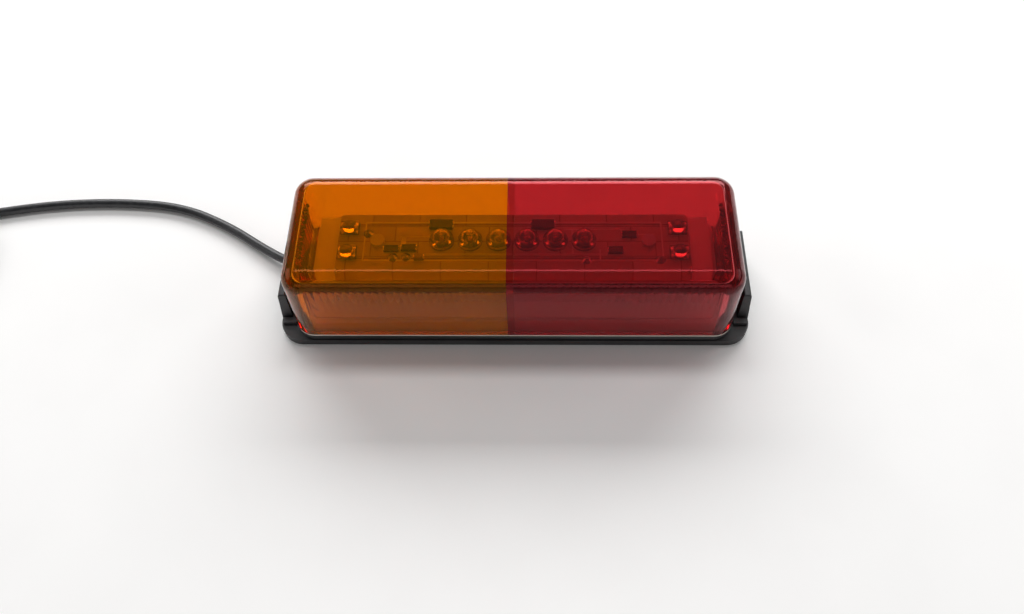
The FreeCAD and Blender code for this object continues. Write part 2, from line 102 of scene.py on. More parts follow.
def add(tree, kind, inputs=None, **settings):
    """Adds one node. inputs maps a socket's name or number to a value or to an output to link."""
    node = tree.nodes.new(kind)
    for key, value in settings.items():
        setattr(node, key, value)
    for key, value in (inputs or {}).items():
        if isinstance(value, bpy.types.NodeSocket):
            tree.links.new(value, node.inputs[key])
        else:
            node.inputs[key].default_value = value
    return node


def new_material(name):
    material = bpy.data.materials.new(name)
    material.use_nodes = True
    material.node_tree.nodes.clear()
    return material, material.node_tree


def finish_material(tree, shader):
    add(tree, "ShaderNodeOutputMaterial", {"Surface": shader.outputs["BSDF"]})


def ramp(tree, factor, stops):
    """Colour ramp with (position, hex) stops."""
    node = add(tree, "ShaderNodeValToRGB", {"Fac": factor})
    elements = node.color_ramp.elements
    while len(elements) < len(stops):
        elements.new(0.5)
    for element, (position, colour) in zip(elements, stops):
        element.position = position
        element.color = linear(colour)
    return node.outputs["Color"]


def new_object(name, mesh, material=None, smooth_angle=None):
    piece = bpy.data.objects.new(name, mesh)
    bpy.context.scene.collection.objects.link(piece)
    if material:
        mesh.materials.append(material)
    if smooth_angle:
        mesh.shade_smooth()
        mesh.set_sharp_from_angle(angle=math.radians(smooth_angle))
    return piece


def mesh_from(name, points, faces):
    """Closed mesh with its doubles merged and its normals pointing outwards."""
    mesh = bpy.data.meshes.new(name)
    mesh.from_pydata([tuple(p) for p in points], [], faces)
    work = bmesh.new()
    work.from_mesh(mesh)
    bmesh.ops.remove_doubles(work, verts=work.verts, dist=1e-7)
    bmesh.ops.recalc_face_normals(work, faces=work.faces)
    work.to_mesh(mesh)
    work.free()
    return mesh


def smoothstep(low, high, value):
    t = min(max((value - low) / (high - low), 0.0), 1.0)
    return t * t * (3 - 2 * t)


# ================================================================ materials
def moulded_lens(name, tint, gloss_tint, depth_tint, depth_density, roughness=(0.015, 0.06)):
    """Injection-moulded polycarbonate, polished: clear body colour that deepens where it is thick,
    faint flow ripples in the gloss and a slight haze where it has been handled."""
    material, tree = new_material(name)
    place = add(tree, "ShaderNodeTexCoord").outputs["Object"]
    # flow ripples some 6 mm long
    ripples = add(tree, "ShaderNodeTexNoise", {"Vector": place, "Scale": 160.0, "Detail": 2.0})
    bump = add(
        tree,
        "ShaderNodeBump",
        {"Height": ripples.outputs["Fac"], "Strength": 0.06, "Distance": 0.4 * MM},
    )
    # handling marks some 12 mm across
    marks = add(
        tree,
        "ShaderNodeTexNoise",
        {"Vector": place, "Scale": 80.0, "Detail": 6.0, "Roughness": 0.7},
    )
    rough = add(
        tree,
        "ShaderNodeMapRange",
        {
            "Value": marks.outputs["Fac"],
            "From Min": 0.45,
            "From Max": 0.75,
            "To Min": roughness[0],
            "To Max": roughness[1],
        },
    )
    shader = add(
        tree,
        "ShaderNodeBsdfPrincipled",
        {
            "Base Color": linear(tint),
            "Roughness": rough.outputs["Result"],
            "IOR": 1.5,
            "Transmission Weight": LENS_CLARITY,
            "Specular Tint": linear(gloss_tint),
            "Normal": bump.outputs["Normal"],
        },
    )
    depth = add(
        tree,
        "ShaderNodeVolumeAbsorption",
        {"Color": linear(depth_tint), "Density": depth_density},
    )
    add(
        tree,
        "ShaderNodeOutputMaterial",
        {"Surface": shader.outputs["BSDF"], "Volume": depth.outputs["Volume"]},
    )
    return material


def moulded_abs(name, dark, light, roughness=(0.42, 0.6), grain_mm=0.35):
    """Moulded ABS with a fine spark-eroded grain: soft sheen, slightly uneven tone."""
    material, tree = new_material(name)
    place = add(tree, "ShaderNodeTexCoord").outputs["Object"]
    # uneven tone in patches some 11 mm across
    clouds = add(tree, "ShaderNodeTexNoise", {"Vector": place, "Scale": 90.0, "Detail": 4.0})
    colour = ramp(tree, clouds.outputs["Fac"], [(0.35, dark), (0.7, light)])
    grain = add(
        tree,
        "ShaderNodeTexNoise",
        {"Vector": place, "Scale": 1 / (grain_mm * MM), "Detail": 3.0},
    )
    rough = add(
        tree,
        "ShaderNodeMapRange",
        {"Value": grain.outputs["Fac"], "To Min": roughness[0], "To Max": roughness[1]},
    )
    bump = add(
        tree,
        "ShaderNodeBump",
        {"Height": grain.outputs["Fac"], "Strength": 0.35, "Distance": 0.06 * MM},
    )
    shader = add(
        tree,
        "ShaderNodeBsdfPrincipled",
        {
            "Base Color": colour,
            "Roughness": rough.outputs["Result"],
            "IOR": 1.54,
            "Normal": bump.outputs["Normal"],
        },
    )
    finish_material(tree, shader)
    return material


def rolled_metal(name, dark, light, roughness=0.3, scratch_mm=0.15):
    """Rolled sheet or drawn metal: fine lines along X in the sheen."""
    material, tree = new_material(name)
    place = add(tree, "ShaderNodeTexCoord").outputs["Object"]
    # each line is twenty times as long as it is wide
    stretch = add(tree, "ShaderNodeMapping", {"Vector": place, "Scale": (0.05, 1.0, 1.0)})
    lines = add(
        tree,
        "ShaderNodeTexNoise",
        {"Vector": stretch.outputs["Vector"], "Scale": 1 / (scratch_mm * MM), "Detail": 2.0},
    )
    colour = ramp(tree, lines.outputs["Fac"], [(0.3, dark), (0.7, light)])
    bump = add(
        tree,
        "ShaderNodeBump",
        {"Height": lines.outputs["Fac"], "Strength": 0.2, "Distance": 0.02 * MM},
    )
    shader = add(
        tree,
        "ShaderNodeBsdfPrincipled",
        {
            "Base Color": colour,
            "Metallic": 1.0,
            "Roughness": roughness,
            "Normal": bump.outputs["Normal"],
        },
    )
    finish_material(tree, shader)
    return material


def board_laminate():
    """Glass-fibre laminate under pale solder mask: glossy, with its weave and darker etched gaps
    just showing."""
    material, tree = new_material("pale_solder_mask_laminate")
    place = add(tree, "ShaderNodeTexCoord").outputs["Object"]
    axes = add(tree, "ShaderNodeSeparateXYZ", {"Vector": place})
    across = add(tree, "ShaderNodeMath", {0: axes.outputs["Y"]}, operation="ABSOLUTE")
    # clearance gaps etched beside the two long tracks
    gap = add(tree, "ShaderNodeMath", {0: across.outputs[0], 1: 4.25 * MM}, operation="SUBTRACT")
    near = add(tree, "ShaderNodeMath", {0: gap.outputs[0]}, operation="ABSOLUTE")
    etched = add(tree, "ShaderNodeMath", {0: near.outputs[0], 1: 0.16 * MM}, operation="LESS_THAN")
    # copper areas with etched gaps round them, some 10 mm long
    areas = add(
        tree,
        "ShaderNodeTexBrick",
        {
            "Vector": place,
            "Color1": linear("#cbbb9b"),
            "Color2": linear("#bcab8a"),
            "Mortar": linear("#9d8d6d"),
            "Scale": 95.0,
            "Mortar Size": 0.012,
            "Brick Width": 0.95,
            "Row Height": 0.36,
        },
    )
    colour = add(
        tree,
        "ShaderNodeMix",
        {0: etched.outputs[0], 6: areas.outputs["Color"], 7: linear("#8a7a5c")},
        data_type="RGBA",
    )
    # glass cloth, 0.5 mm bundles
    weave = add(tree, "ShaderNodeTexNoise", {"Vector": place, "Scale": 2000.0, "Detail": 1.0})
    bump = add(
        tree,
        "ShaderNodeBump",
        {"Height": weave.outputs["Fac"], "Strength": 0.15, "Distance": 0.04 * MM},
    )
    shader = add(
        tree,
        "ShaderNodeBsdfPrincipled",
        {
            "Base Color": colour.outputs[2],
            "Roughness": 0.33,
            "IOR": 1.5,
            "Normal": bump.outputs["Normal"],
        },
    )
    finish_material(tree, shader)
    return material


def extruded_vinyl():
    """Extruded PVC sleeve: black, satin, with faint drag marks and a little handling dust."""
    material, tree = new_material("extruded_black_vinyl")
    place = add(tree, "ShaderNodeTexCoord").outputs["Object"]
    # drag marks some 1.1 mm long
    marks = add(tree, "ShaderNodeTexNoise", {"Vector": place, "Scale": 900.0, "Detail": 3.0})
    colour = ramp(tree, marks.outputs["Fac"], [(0.3, "#1a1a1c"), (0.75, "#303033")])
    rough = add(
        tree,
        "ShaderNodeMapRange",
        {"Value": marks.outputs["Fac"], "To Min": 0.28, "To Max": 0.5},
    )
    bump = add(
        tree,
        "ShaderNodeBump",
        {"Height": marks.outputs["Fac"], "Strength": 0.15, "Distance": 0.04 * MM},
    )
    shader = add(
        tree,
        "ShaderNodeBsdfPrincipled",
        {
            "Base Color": colour,
            "Roughness": rough.outputs["Result"],
            "IOR": 1.53,
            "Normal": bump.outputs["Normal"],
        },
    )
    finish_material(tree, shader)
    return material


def clear_epoxy(name, tint, clarity, roughness):
    """Cast epoxy dome: tinted, slightly milky with its diffuser, smooth skin."""
    material, tree = new_material(name)
    shader = add(
        tree,
        "ShaderNodeBsdfPrincipled",
        {
            "Base Color": linear(tint),
            "Roughness": roughness,
            "IOR": 1.52,
            "Transmission Weight": clarity,
        },
    )
    finish_material(tree, shader)
    return material


def pale_floor():
    """Matt paper: almost white, with its fibres just uneven."""
    material, tree = new_material("matt_white_paper")
    place = add(tree, "ShaderNodeTexCoord").outputs["Object"]
    fibres = add(tree, "ShaderNodeTexNoise", {"Vector": place, "Scale": 60.0, "Detail": 2.0})
    colour = ramp(tree, fibres.outputs["Fac"], [(0.3, "#f9f8f7"), (0.7, "#fbfaf9")])
    shader = add(tree, "ShaderNodeBsdfPrincipled", {"Base Color": colour, "Roughness": 0.9})
    finish_material(tree, shader)
    return material


# body tint, tint of the gloss, tint that builds up with depth, how fast it does so
AMBER = moulded_lens("moulded_amber_polycarbonate", "#ecc822", "#ff9040", "#fb9532", 310.0)
RED = moulded_lens("moulded_red_polycarbonate", "#da666c", "#ff5a66", "#f29494", 130.0)
SEAM = moulded_lens("fused_seam_polycarbonate", "#cc5c5c", "#ff5a66", "#f29494", 160.0, (0.08, 0.16))
BLACK_ABS = moulded_abs("spark_grained_black_abs", "#161516", "#2a282a")
BASE_ABS = moulded_abs("moulded_black_abs_base", "#151415", "#242324")
WHITE_ABS = moulded_abs("moulded_white_abs", "#eae7df", "#f3f1ea", (0.3, 0.45), 0.6)
GREY_ABS = moulded_abs("moulded_pale_grey_abs", "#cbc6ba", "#dad5c9", (0.4, 0.55), 0.5)
SEAL_RUBBER = moulded_abs("natural_silicone_bead", "#cfc9bb", "#ddd8cc", (0.35, 0.5), 0.3)
GROMMET_RUBBER = moulded_abs("moulded_rubber_grommet", "#1c1b1b", "#2b2a29", (0.6, 0.75), 0.25)
EPOXY_CHIP = moulded_abs("moulded_epoxy_package", "#3a1a14", "#50241a", (0.45, 0.6), 0.2)
CERAMIC = moulded_abs("fired_ceramic_body", "#8d7350", "#a58a63", (0.35, 0.5), 0.2)
NYLON_TIE = moulded_abs("moulded_nylon_tie", "#151515", "#232323", (0.35, 0.5), 0.3)
BRASS = rolled_metal("tinned_brass_strip", "#b8b09a", "#d6cfbb", 0.32)
COPPER = rolled_metal("tinned_copper_strand", "#b3aba2", "#d8d2ca", 0.28)
SOLDER = rolled_metal("reflowed_solder", "#b9bbbd", "#dcdddd", 0.2, 0.4)
SILVER = rolled_metal("silver_plated_lead_frame", "#a8a498", "#cfcbbf", 0.26, 0.3)
TRACK = moulded_abs("masked_copper_track", "#e0d4b8", "#e8ddc2", (0.25, 0.4), 0.3)
DARK_PAD = moulded_abs("etched_die_pad", "#3d2a1c", "#54402c", (0.4, 0.55), 0.2)
AMBER_DIE = moulded_abs("sawn_amber_die", "#c07a20", "#d08a2a", (0.3, 0.45), 0.1)
# opaque dark brown and dark red pips in the lens ends: painted shade
AMBER_PAINTED_SHADE_PIP = moulded_abs("amber_pip_painted_shade", "#3a1404", "#4c1c06", (0.4, 0.6), 0.2)
RED_PAINTED_SHADE_PIP = moulded_abs("red_pip_painted_shade", "#4a0c12", "#5e1218", (0.4, 0.6), 0.2)
RED_DIE = moulded_abs("sawn_red_die", "#a03020", "#b44030", (0.3, 0.45), 0.1)
BOARD = board_laminate()
VINYL = extruded_vinyl()
AMBER_EPOXY = clear_epoxy("diffused_amber_epoxy", "#ecd9b4", 0.92, 0.09)
RED_EPOXY = clear_epoxy("diffused_rose_epoxy", "#e8c4b6", 0.92, 0.09)


# ================================================================ stage, light and camera
FLOOR_HALF = 3.0
# softboxes that face the lamp: place, size across and up (m), power (W)
SOFTBOXES = (
    ("back_softbox", (0.0, 0.85, 0.55), (1.6, 0.42), 15),
    ("top_softbox", (0.0, 0.3, 0.92), (1.0, 0.15), 2.7),
    ("front_softbox", (0.0, -0.95, 0.3), (1.3, 0.3), 2.2),
    ("left_softbox", (-0.9, 0.1, 0.4), (0.7, 0.5), 1.8),
    ("right_softbox", (0.9, 0.1, 0.4), (0.7, 0.5), 1.8),
)
ROOM_COLOUR = "#ffffff"
ROOM_STRENGTH = 0.06


def make_stage():
    corners = [(-FLOOR_HALF, -FLOOR_HALF, 0), (FLOOR_HALF, -FLOOR_HALF, 0)]
    corners += [(FLOOR_HALF, FLOOR_HALF, 0), (-FLOOR_HALF, FLOOR_HALF, 0)]
    mesh = bpy.data.meshes.new("floor")
    mesh.from_pydata(corners, [], [(0, 1, 2, 3)])
    new_object("floor", mesh, pale_floor())


def soft_light(name, place, size, power):
    """Softbox at a place, facing the lamp."""
    lamp = bpy.data.lights.new(name, "AREA")
    lamp.shape = "RECTANGLE"
    lamp.size, lamp.size_y = size
    lamp.energy = power
    holder = bpy.data.objects.new(name, lamp)
    bpy.context.scene.collection.objects.link(holder)
    holder.location = place
    aim = Vector((0, 0, 0)) - Vector(place)
    holder.rotation_euler = aim.to_track_quat("-Z", "Y").to_euler()


def make_lights():
    for softbox in SOFTBOXES:
        soft_light(*softbox)
    world = bpy.data.worlds.new("studio")
    world.use_nodes = True
    background = world.node_tree.nodes["Background"]
    background.inputs["Color"].default_value = linear(ROOM_COLOUR)
    background.inputs["Strength"].default_value = ROOM_STRENGTH
    bpy.context.scene.world = world
    bpy.context.scene.view_settings.view_transform = "Standard"


def make_camera():
    camera = bpy.data.cameras.new("camera")
    camera.sensor_width = 36
    camera.lens = CAMERA_LENS
    camera.clip_start = 0.01
    holder = bpy.data.objects.new("camera", camera)
    bpy.context.scene.collection.objects.link(holder)
    down, roll = CAMERA_PITCH, CAMERA_ROLL
    ahead = Vector((0, math.cos(down), -math.sin(down)))
    up = Vector((0, math.sin(down), math.cos(down)))
    right = Vector((1, 0, 0))
    rolled_right = math.cos(roll) * right + math.sin(roll) * up
    rolled_up = -math.sin(roll) * right + math.cos(roll) * up
    turn = Matrix.Rotation(CAMERA_YAW, 3, "Z")
    columns = [turn @ rolled_right, turn @ rolled_up, -(turn @ ahead)]
    basis = Matrix(columns).transposed().to_4x4()
    holder.matrix_world = Matrix.Translation(CAMERA_PLACE) @ basis
    bpy.context.scene.camera = holder


# ================================================================ lead
WIRE_D = 2.1 * MM
STRAND_COUNT = 7
STRAND_R = 0.2 * MM
STRAND_CROWDING = 0.9
STRAND_TURNS = 0.9
STRAND_STEPS = 24
STRIPPED_LENGTH = 7.6 * MM
# out of the lamp and along the floor, then the coil, then the free end
FREE_ROUTE = (
    (-0.0479, 0.0036, 0.0022),
    (-0.0520, 0.0049, 0.0022),
    (-0.0590, 0.00925, 0.0013),
    (-0.0685, 0.0158, 0.0011),
    (-0.0810, 0.0216, 0.0011),
    (-0.0960, 0.0231, 0.0011),
    (-0.1120, 0.0226, 0.0011),
    (-0.1270, 0.0201, 0.0011),
    (-0.1367, 0.0177, 0.0014),
)
TAIL_ROUTE = (
    (-0.1487, -0.0050, 0.0033),
    (-0.1494, -0.0105, 0.0019),
    (-0.1491, -0.0160, 0.0011),
    (-0.1477, -0.0210, 0.0011),
)
COIL_CENTRE = (-0.1370, 0.0047)
COIL_TURN_RADII = (0.0126, 0.0105, 0.01155)
COIL_TURN_HEIGHTS = (0.0015, 0.0015, 0.0033)
# degrees round the coil: where its turns are counted from, its first point after that, its end
COIL_ENTRY = 103.8
COIL_FIRST_POINT = 24
COIL_END = 180 + 720
# share of a turn after which the lead moves over to the next one
CROSSING_START = 0.86
POINTS_PER_TURN = 16


def coil_points():
    """Two turns side by side, then part of a third lying in the groove between them."""
    first = math.radians(COIL_ENTRY + COIL_FIRST_POINT)
    last = math.radians(COIL_END)
    step = 2 * math.pi / POINTS_PER_TURN
    count = int((last - first) / step)
    inside = math.cos(step / 2)
    points = []
    for i in range(count + 1):
        angle = first + i * (last - first) / count
        turns = (angle - math.radians(COIL_ENTRY)) / (2 * math.pi)
        layer = min(int(turns), 1)
        blend = smoothstep(CROSSING_START, 1.0, turns - layer)
        radius = COIL_TURN_RADII[layer] * (1 - blend) + COIL_TURN_RADII[layer + 1] * blend
        height = COIL_TURN_HEIGHTS[layer] * (1 - blend) + COIL_TURN_HEIGHTS[layer + 1] * blend
        if turns >= 2:
            radius, height = COIL_TURN_RADII[2], COIL_TURN_HEIGHTS[2]
        reach = radius / inside
        x = COIL_CENTRE[0] + reach * math.cos(angle)
        y = COIL_CENTRE[1] + reach * math.sin(angle)
        points.append((x, y, height))
    return points


def smooth_line(points):
    """Points read along the open NURBS spline that has these control points."""
    curve = bpy.data.curves.new("route", "CURVE")
    curve.dimensions = "3D"
    curve.resolution_u = 8
    spline = curve.splines.new("NURBS")
    spline.points.add(len(points) - 1)
    for point, place in zip(spline.points, points):
        point.co = (*place, 1)
    spline.order_u = 3
    spline.use_endpoint_u = True
    holder = bpy.data.objects.new("route", curve)
    line = [v.co.copy() for v in bpy.data.meshes.new_from_object(holder).vertices]
    bpy.data.objects.remove(holder)
    return line


def tube_along(name, line, radius, sides=20):
    """Round tube with closed ends along a line of points."""
    points, faces = [], []
    forward = (line[1] - line[0]).normalized()
    across = forward.orthogonal().normalized()
    for i, place in enumerate(line):
        after = line[min(i + 1, len(line) - 1)]
        before = line[max(i - 1, 0)]
        heading = (after - before).normalized()
        across = (across - heading * across.dot(heading)).normalized()
        up = heading.cross(across)
        for k in range(sides):
            angle = 2 * math.pi * k / sides
            points.append(place + radius * (math.cos(angle) * across + math.sin(angle) * up))
    for i in range(len(line) - 1):
        for k in range(sides):
            a, b = i * sides + k, i * sides + (k + 1) % sides
            faces.append((a, b, b + sides, a + sides))
    faces.append(tuple(range(sides)))
    faces.append(tuple(range(len(points) - sides, len(points))))
    return mesh_from(name, points, faces)


def make_lead():
    """Sleeve along its whole route, with the tie and the bare strands that go with it."""
    line = smooth_line(list(FREE_ROUTE) + coil_points() + list(TAIL_ROUTE))
    sleeve = new_object("lead_wire", tube_along("lead_wire", line, WIRE_D / 2), VINYL, 40)
    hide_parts("cord_tube", "cord_coil", "cord_tail")
    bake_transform(sleeve)
    strands = make_bare_strands(line)
    tie = dress("cord_tie", NYLON_TIE)


def make_bare_strands(line):
    """Tinned strands, one in the middle and the rest twisted round it, where the sleeve is
    stripped."""
    heading = (line[-1] - line[-2]).normalized()
    side = heading.orthogonal().normalized()
    up = heading.cross(side)
    lay_radius = 2 * STRAND_R * STRAND_CROWDING
    middle = STRAND_COUNT - 1
    joined = bmesh.new()
    for strand in range(STRAND_COUNT):
        path = []
        for i in range(STRAND_STEPS + 1):
            share = i / STRAND_STEPS
            angle = 2 * math.pi * (strand / middle + STRAND_TURNS * share)
            out = 0.0 if strand == middle else lay_radius
            place = line[-1] + heading * (share * STRIPPED_LENGTH)
            path.append(place + out * (math.cos(angle) * side + math.sin(angle) * up))
        joined.from_mesh(tube_along("strand", path, STRAND_R, 8))
    mesh = bpy.data.meshes.new("lead_strands")
    joined.to_mesh(mesh)
    joined.free()
    piece = new_object("lead_strands", mesh, COPPER, 40)
    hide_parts("cord_bare_end")
    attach(piece, "bracket")
    return piece


# ================================================================ lens
def half_ring(side, cut, half_length, half_width, radius, counts):
    """Points round one half of a rounded rectangle, from the cut along the front, end and back."""
    along, corner, end = counts
    points = []
    flat_x = half_length - radius
    flat_y = half_width - radius
    for i in range(along):
        x = cut + (flat_x - cut) * i / along
        points.append((side * x, -half_width))
    for i in range(corner):
        angle = -math.pi / 2 + math.pi / 2 * i / corner
        points.append((side * (flat_x + radius * math.cos(angle)), -flat_y + radius * math.sin(angle)))
    for i in range(end):
        points.append((side * half_length, -flat_y + 2 * flat_y * i / end))
    for i in range(corner):
        angle = math.pi / 2 * i / corner
        points.append((side * (flat_x + radius * math.cos(angle)), flat_y + radius * math.sin(angle)))
    for i in range(along + 1):
        x = flat_x + (cut - flat_x) * i / along
        points.append((side * x, half_width))
    return points


def levels(z0, z1, edge_r, straight_heights, arc_steps):
    """(height, inset) pairs up a drafted wall and round its top edge."""
    pairs = [(z, 0.0) for z in straight_heights if z0 <= z < z1 - edge_r]
    for i in range(arc_steps + 1):
        angle = math.pi / 2 * i / arc_steps
        pairs.append((z1 - edge_r + edge_r * math.sin(angle), edge_r * (1 - math.cos(angle))))
    return pairs


def flute(value, pitch, depth):
    """Height of a row of half-round ribs."""
    return depth * abs(math.sin(math.pi * value / pitch))


def lens_shape():
    """Half length, half width, foot and top of the lens, from the CAD box of its amber half."""
    amber_low, amber_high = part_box("lens_amber")
    return -amber_low[0], amber_high[1], amber_low[2] + FOOT_GAP, amber_high[2]


def lens_half(name, node, side, material):
    """One coloured half: outer shell, fluted cavity and the cut face against the seam."""
    half_length, half_width, z0, z1 = lens_shape()
    low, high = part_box(node)
    cut = side * (high[0] if side < 0 else low[0])
    height = z1 - z0
    along = int((half_length - cut) / SIDE_FLUTE_PITCH * POINTS_PER_FLUTE)
    end_points = int(2 * half_width / END_FLUTE_PITCH * POINTS_PER_FLUTE * END_POINT_SHARE)
    counts = (along, CORNER_STEPS, end_points)
    points, faces = [], []

    def add_rings(pairs, wall_x, wall_y, radius, fluted):
        rings = []
        flute_top = pairs[-1][0] - INNER_EDGE_R
        for z, inset in pairs:
            lean = LENS_DRAFT * (z - z0) / height
            hl = half_length - wall_x - lean - inset
            hw = half_width - wall_y - lean - inset
            ring_r = max(radius - inset, SMALLEST_RING_R)
            ring = half_ring(side, cut, hl, hw, ring_r, counts)
            window = smoothstep(FLUTE_FOOT, FLUTE_FOOT + FLUTE_FADE, z)
            window *= 1 - smoothstep(flute_top - FLUTE_FADE, flute_top, z)
            start = len(points)
            for x, y in ring:
                if fluted and abs(abs(y) - hw) < SAME_PLACE and abs(x) < hl - ring_r:
                    rib = window * flute(abs(x), SIDE_FLUTE_PITCH, SIDE_FLUTE_DEPTH)
                    y -= math.copysign(rib, y)
                elif fluted and abs(abs(x) - hl) < SAME_PLACE and abs(y) < END_FLUTE_HALF_SPAN:
                    x -= side * window * flute(y, END_FLUTE_PITCH, END_FLUTE_DEPTH)
                points.append(Vector((x, y, z)))
            rings.append(range(start, len(points)))
        for lower, upper in zip(rings, rings[1:]):
            for i in range(len(lower) - 1):
                faces.append((lower[i], lower[i + 1], upper[i + 1], upper[i]))
        faces.append(tuple(rings[-1]))
        return rings

    outer_heights = [z0, z0 + 0.3 * height, z0 + 0.6 * height]
    outer_pairs = levels(z0, z1, LENS_EDGE_R, outer_heights, OUTER_EDGE_STEPS)
    outer = add_rings(outer_pairs, 0, 0, LENS_CORNER_R, False)
    roof = z1 - TOP_WALL
    fade = [FLUTE_FOOT + FLUTE_FADE * i / 4 for i in range(5)]
    flute_top = roof - INNER_EDGE_R
    inner_heights = [z0, z0 + 0.2 * height, *fade, 0.5 * (FLUTE_FOOT + roof)]
    inner_heights += [flute_top - FLUTE_FADE, flute_top - 0.5 * FLUTE_FADE]
    inner_pairs = levels(z0, roof, INNER_EDGE_R, inner_heights, INNER_EDGE_STEPS)
    inner = add_rings(inner_pairs, END_WALL, SIDE_WALL, LENS_CORNER_R - SIDE_WALL, True)
    for i in range(len(outer[0]) - 1):
        faces.append((outer[0][i], outer[0][i + 1], inner[0][i + 1], inner[0][i]))
    section = [ring[0] for ring in outer] + [ring[-1] for ring in reversed(outer)]
    section += [ring[-1] for ring in inner] + [ring[0] for ring in reversed(inner)]
    faces.append(tuple(section))
    piece = new_object(name, mesh_from(name, points, faces), material, 35)
    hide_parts(node)
    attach(piece, "lamp")


def lens_seam():
    """Fused band between the halves, following the lens wall's section."""
    half_length, half_width, z0, z1 = lens_shape()
    height = z1 - z0
    seam_low, seam_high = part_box("lens_weld_seam")

    def profile(pairs, wall):
        rows = []
        for z, inset in pairs:
            lean = LENS_DRAFT * (z - z0) / height
            rows.append((half_width - wall - lean - inset, z))
        return [(-y, z) for y, z in rows] + [(y, z) for y, z in reversed(rows)]

    heights = [z0, z0 + 0.5 * height]
    outer = profile(levels(z0, z1, LENS_EDGE_R, heights, OUTER_EDGE_STEPS), 0)
    inner_pairs = levels(z0, z1 - TOP_WALL, INNER_EDGE_R, heights, INNER_EDGE_STEPS)
    inner = profile(inner_pairs, SIDE_WALL)
    loop = outer + inner[::-1]
    count = len(loop)
    ends = (seam_low[0] + LIFT, seam_high[0] - LIFT)
    points = [Vector((x, y, z)) for x in ends for y, z in loop]
    faces = [(i, (i + 1) % count, (i + 1) % count + count, i + count) for i in range(count)]
    faces += [tuple(range(count)), tuple(range(count, 2 * count))]
    piece = new_object("lens_seam", mesh_from("lens_seam", points, faces), SEAM, 35)
    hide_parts("lens_weld_seam")
    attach(piece, "lamp")


# ================================================================ rows of small parts
def row_tree():
    """Geometry Nodes: copies of one part in a straight row, joined and given one material."""
    tree = bpy.data.node_groups.new("row_of_parts", "GeometryNodeTree")
    face = tree.interface
    face.new_socket("Geometry", in_out="OUTPUT", socket_type="NodeSocketGeometry")
    face.new_socket("Part", in_out="INPUT", socket_type="NodeSocketObject")
    face.new_socket("Count", in_out="INPUT", socket_type="NodeSocketInt")
    face.new_socket("First Place", in_out="INPUT", socket_type="NodeSocketVector")
    face.new_socket("Step", in_out="INPUT", socket_type="NodeSocketVector")
    face.new_socket("Finish", in_out="INPUT", socket_type="NodeSocketMaterial")
    entry = add(tree, "NodeGroupInput").outputs
    line = add(
        tree,
        "GeometryNodeMeshLine",
        {"Count": entry["Count"], "Start Location": entry["First Place"], "Offset": entry["Step"]},
    )
    part = add(tree, "GeometryNodeObjectInfo", {"Object": entry["Part"], "As Instance": True})
    copies = add(
        tree,
        "GeometryNodeInstanceOnPoints",
        {"Points": line.outputs["Mesh"], "Instance": part.outputs["Geometry"]},
    )
    joined = add(tree, "GeometryNodeRealizeInstances", {"Geometry": copies.outputs["Instances"]})
    finished = add(
        tree,
        "GeometryNodeSetMaterial",
        {"Geometry": joined.outputs["Geometry"], "Material": entry["Finish"]},
    )
    add(tree, "NodeGroupOutput", {"Geometry": finished.outputs["Geometry"]})
    return tree


ROW_TREE = row_tree()


def row_of(name, part_mesh, count, first, step, material, smooth_angle):
    """A plain mesh object: count copies of a part, the first at a place, each a step further."""
    part = bpy.data.objects.new("part", part_mesh)
    holder = bpy.data.objects.new("row", bpy.data.meshes.new("row"))
    for item in (part, holder):
        bpy.context.scene.collection.objects.link(item)
    modifier = holder.modifiers.new("row", "NODES")
    modifier.node_group = ROW_TREE
    values = {"Part": part, "Count": count, "First Place": first, "Step": step, "Finish": material}
    for socket in ROW_TREE.interface.items_tree:
        if socket.in_out == "INPUT":
            modifier[socket.identifier] = values[socket.name]
    bpy.context.view_layer.update()
    result = holder.evaluated_get(bpy.context.evaluated_depsgraph_get())
    mesh = bpy.data.meshes.new_from_object(result)
    for item in (part, holder):
        bpy.data.objects.remove(item)
    mesh.name = name
    mesh.materials.clear()
    return new_object(name, mesh, material, smooth_angle)


def turned(name, profile, sides=32):
    """Solid of revolution about Z from (radius, height) points, closed at both poles."""
    points, faces = [], []
    for radius, height in profile:
        for k in range(sides):
            angle = 2 * math.pi * k / sides
            points.append(Vector((radius * math.cos(angle), radius * math.sin(angle), height)))
    for i in range(len(profile) - 1):
        for k in range(sides):
            a, b = i * sides + k, i * sides + (k + 1) % sides
            faces.append((a, b, b + sides, a + sides))
    if profile[0][0] > 0:
        faces.append(tuple(range(sides)))
    if profile[-1][0] > 0:
        faces.append(tuple(range(len(points) - sides, len(points))))
    return mesh_from(name, points, [f for f in faces if len(set(f)) > 2])


def bevelled_box(work, low, high, bevel):
    """Adds a box with rounded edges to a bmesh."""
    made = bmesh.ops.create_cube(work, size=1)["verts"]
    for v in made:
        v.co = Vector([low[i] + (v.co[i] + 0.5) * (high[i] - low[i]) for i in range(3)])
    edges = list({e for v in made for e in v.link_edges})
    if bevel:
        bmesh.ops.bevel(work, geom=edges, offset=bevel, segments=2, affect="EDGES", profile=0.5)


def boxes(name, spans, bevel):
    """Mesh of bevelled boxes from (low corner, high corner) pairs."""
    work = bmesh.new()
    for low, high in spans:
        bevelled_box(work, low, high, bevel)
    bmesh.ops.recalc_face_normals(work, faces=work.faces)
    mesh = bpy.data.meshes.new(name)
    work.to_mesh(mesh)
    work.free()
    return mesh


def arc(radius, centre_z, start, end, steps):
    """(radius, height) points along an arc about the axis, angles in degrees from level."""
    angles = [math.radians(start + (end - start) * i / steps) for i in range(steps + 1)]
    return [(radius * math.cos(a), centre_z + radius * math.sin(a)) for a in angles]


def mounted(piece, slot, *nodes):
    """Fixes a piece to the lamp in place of the named CAD nodes, which it hides; slot is not used."""
    if nodes:
        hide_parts(*nodes)
    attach(piece, "lamp")
    return piece


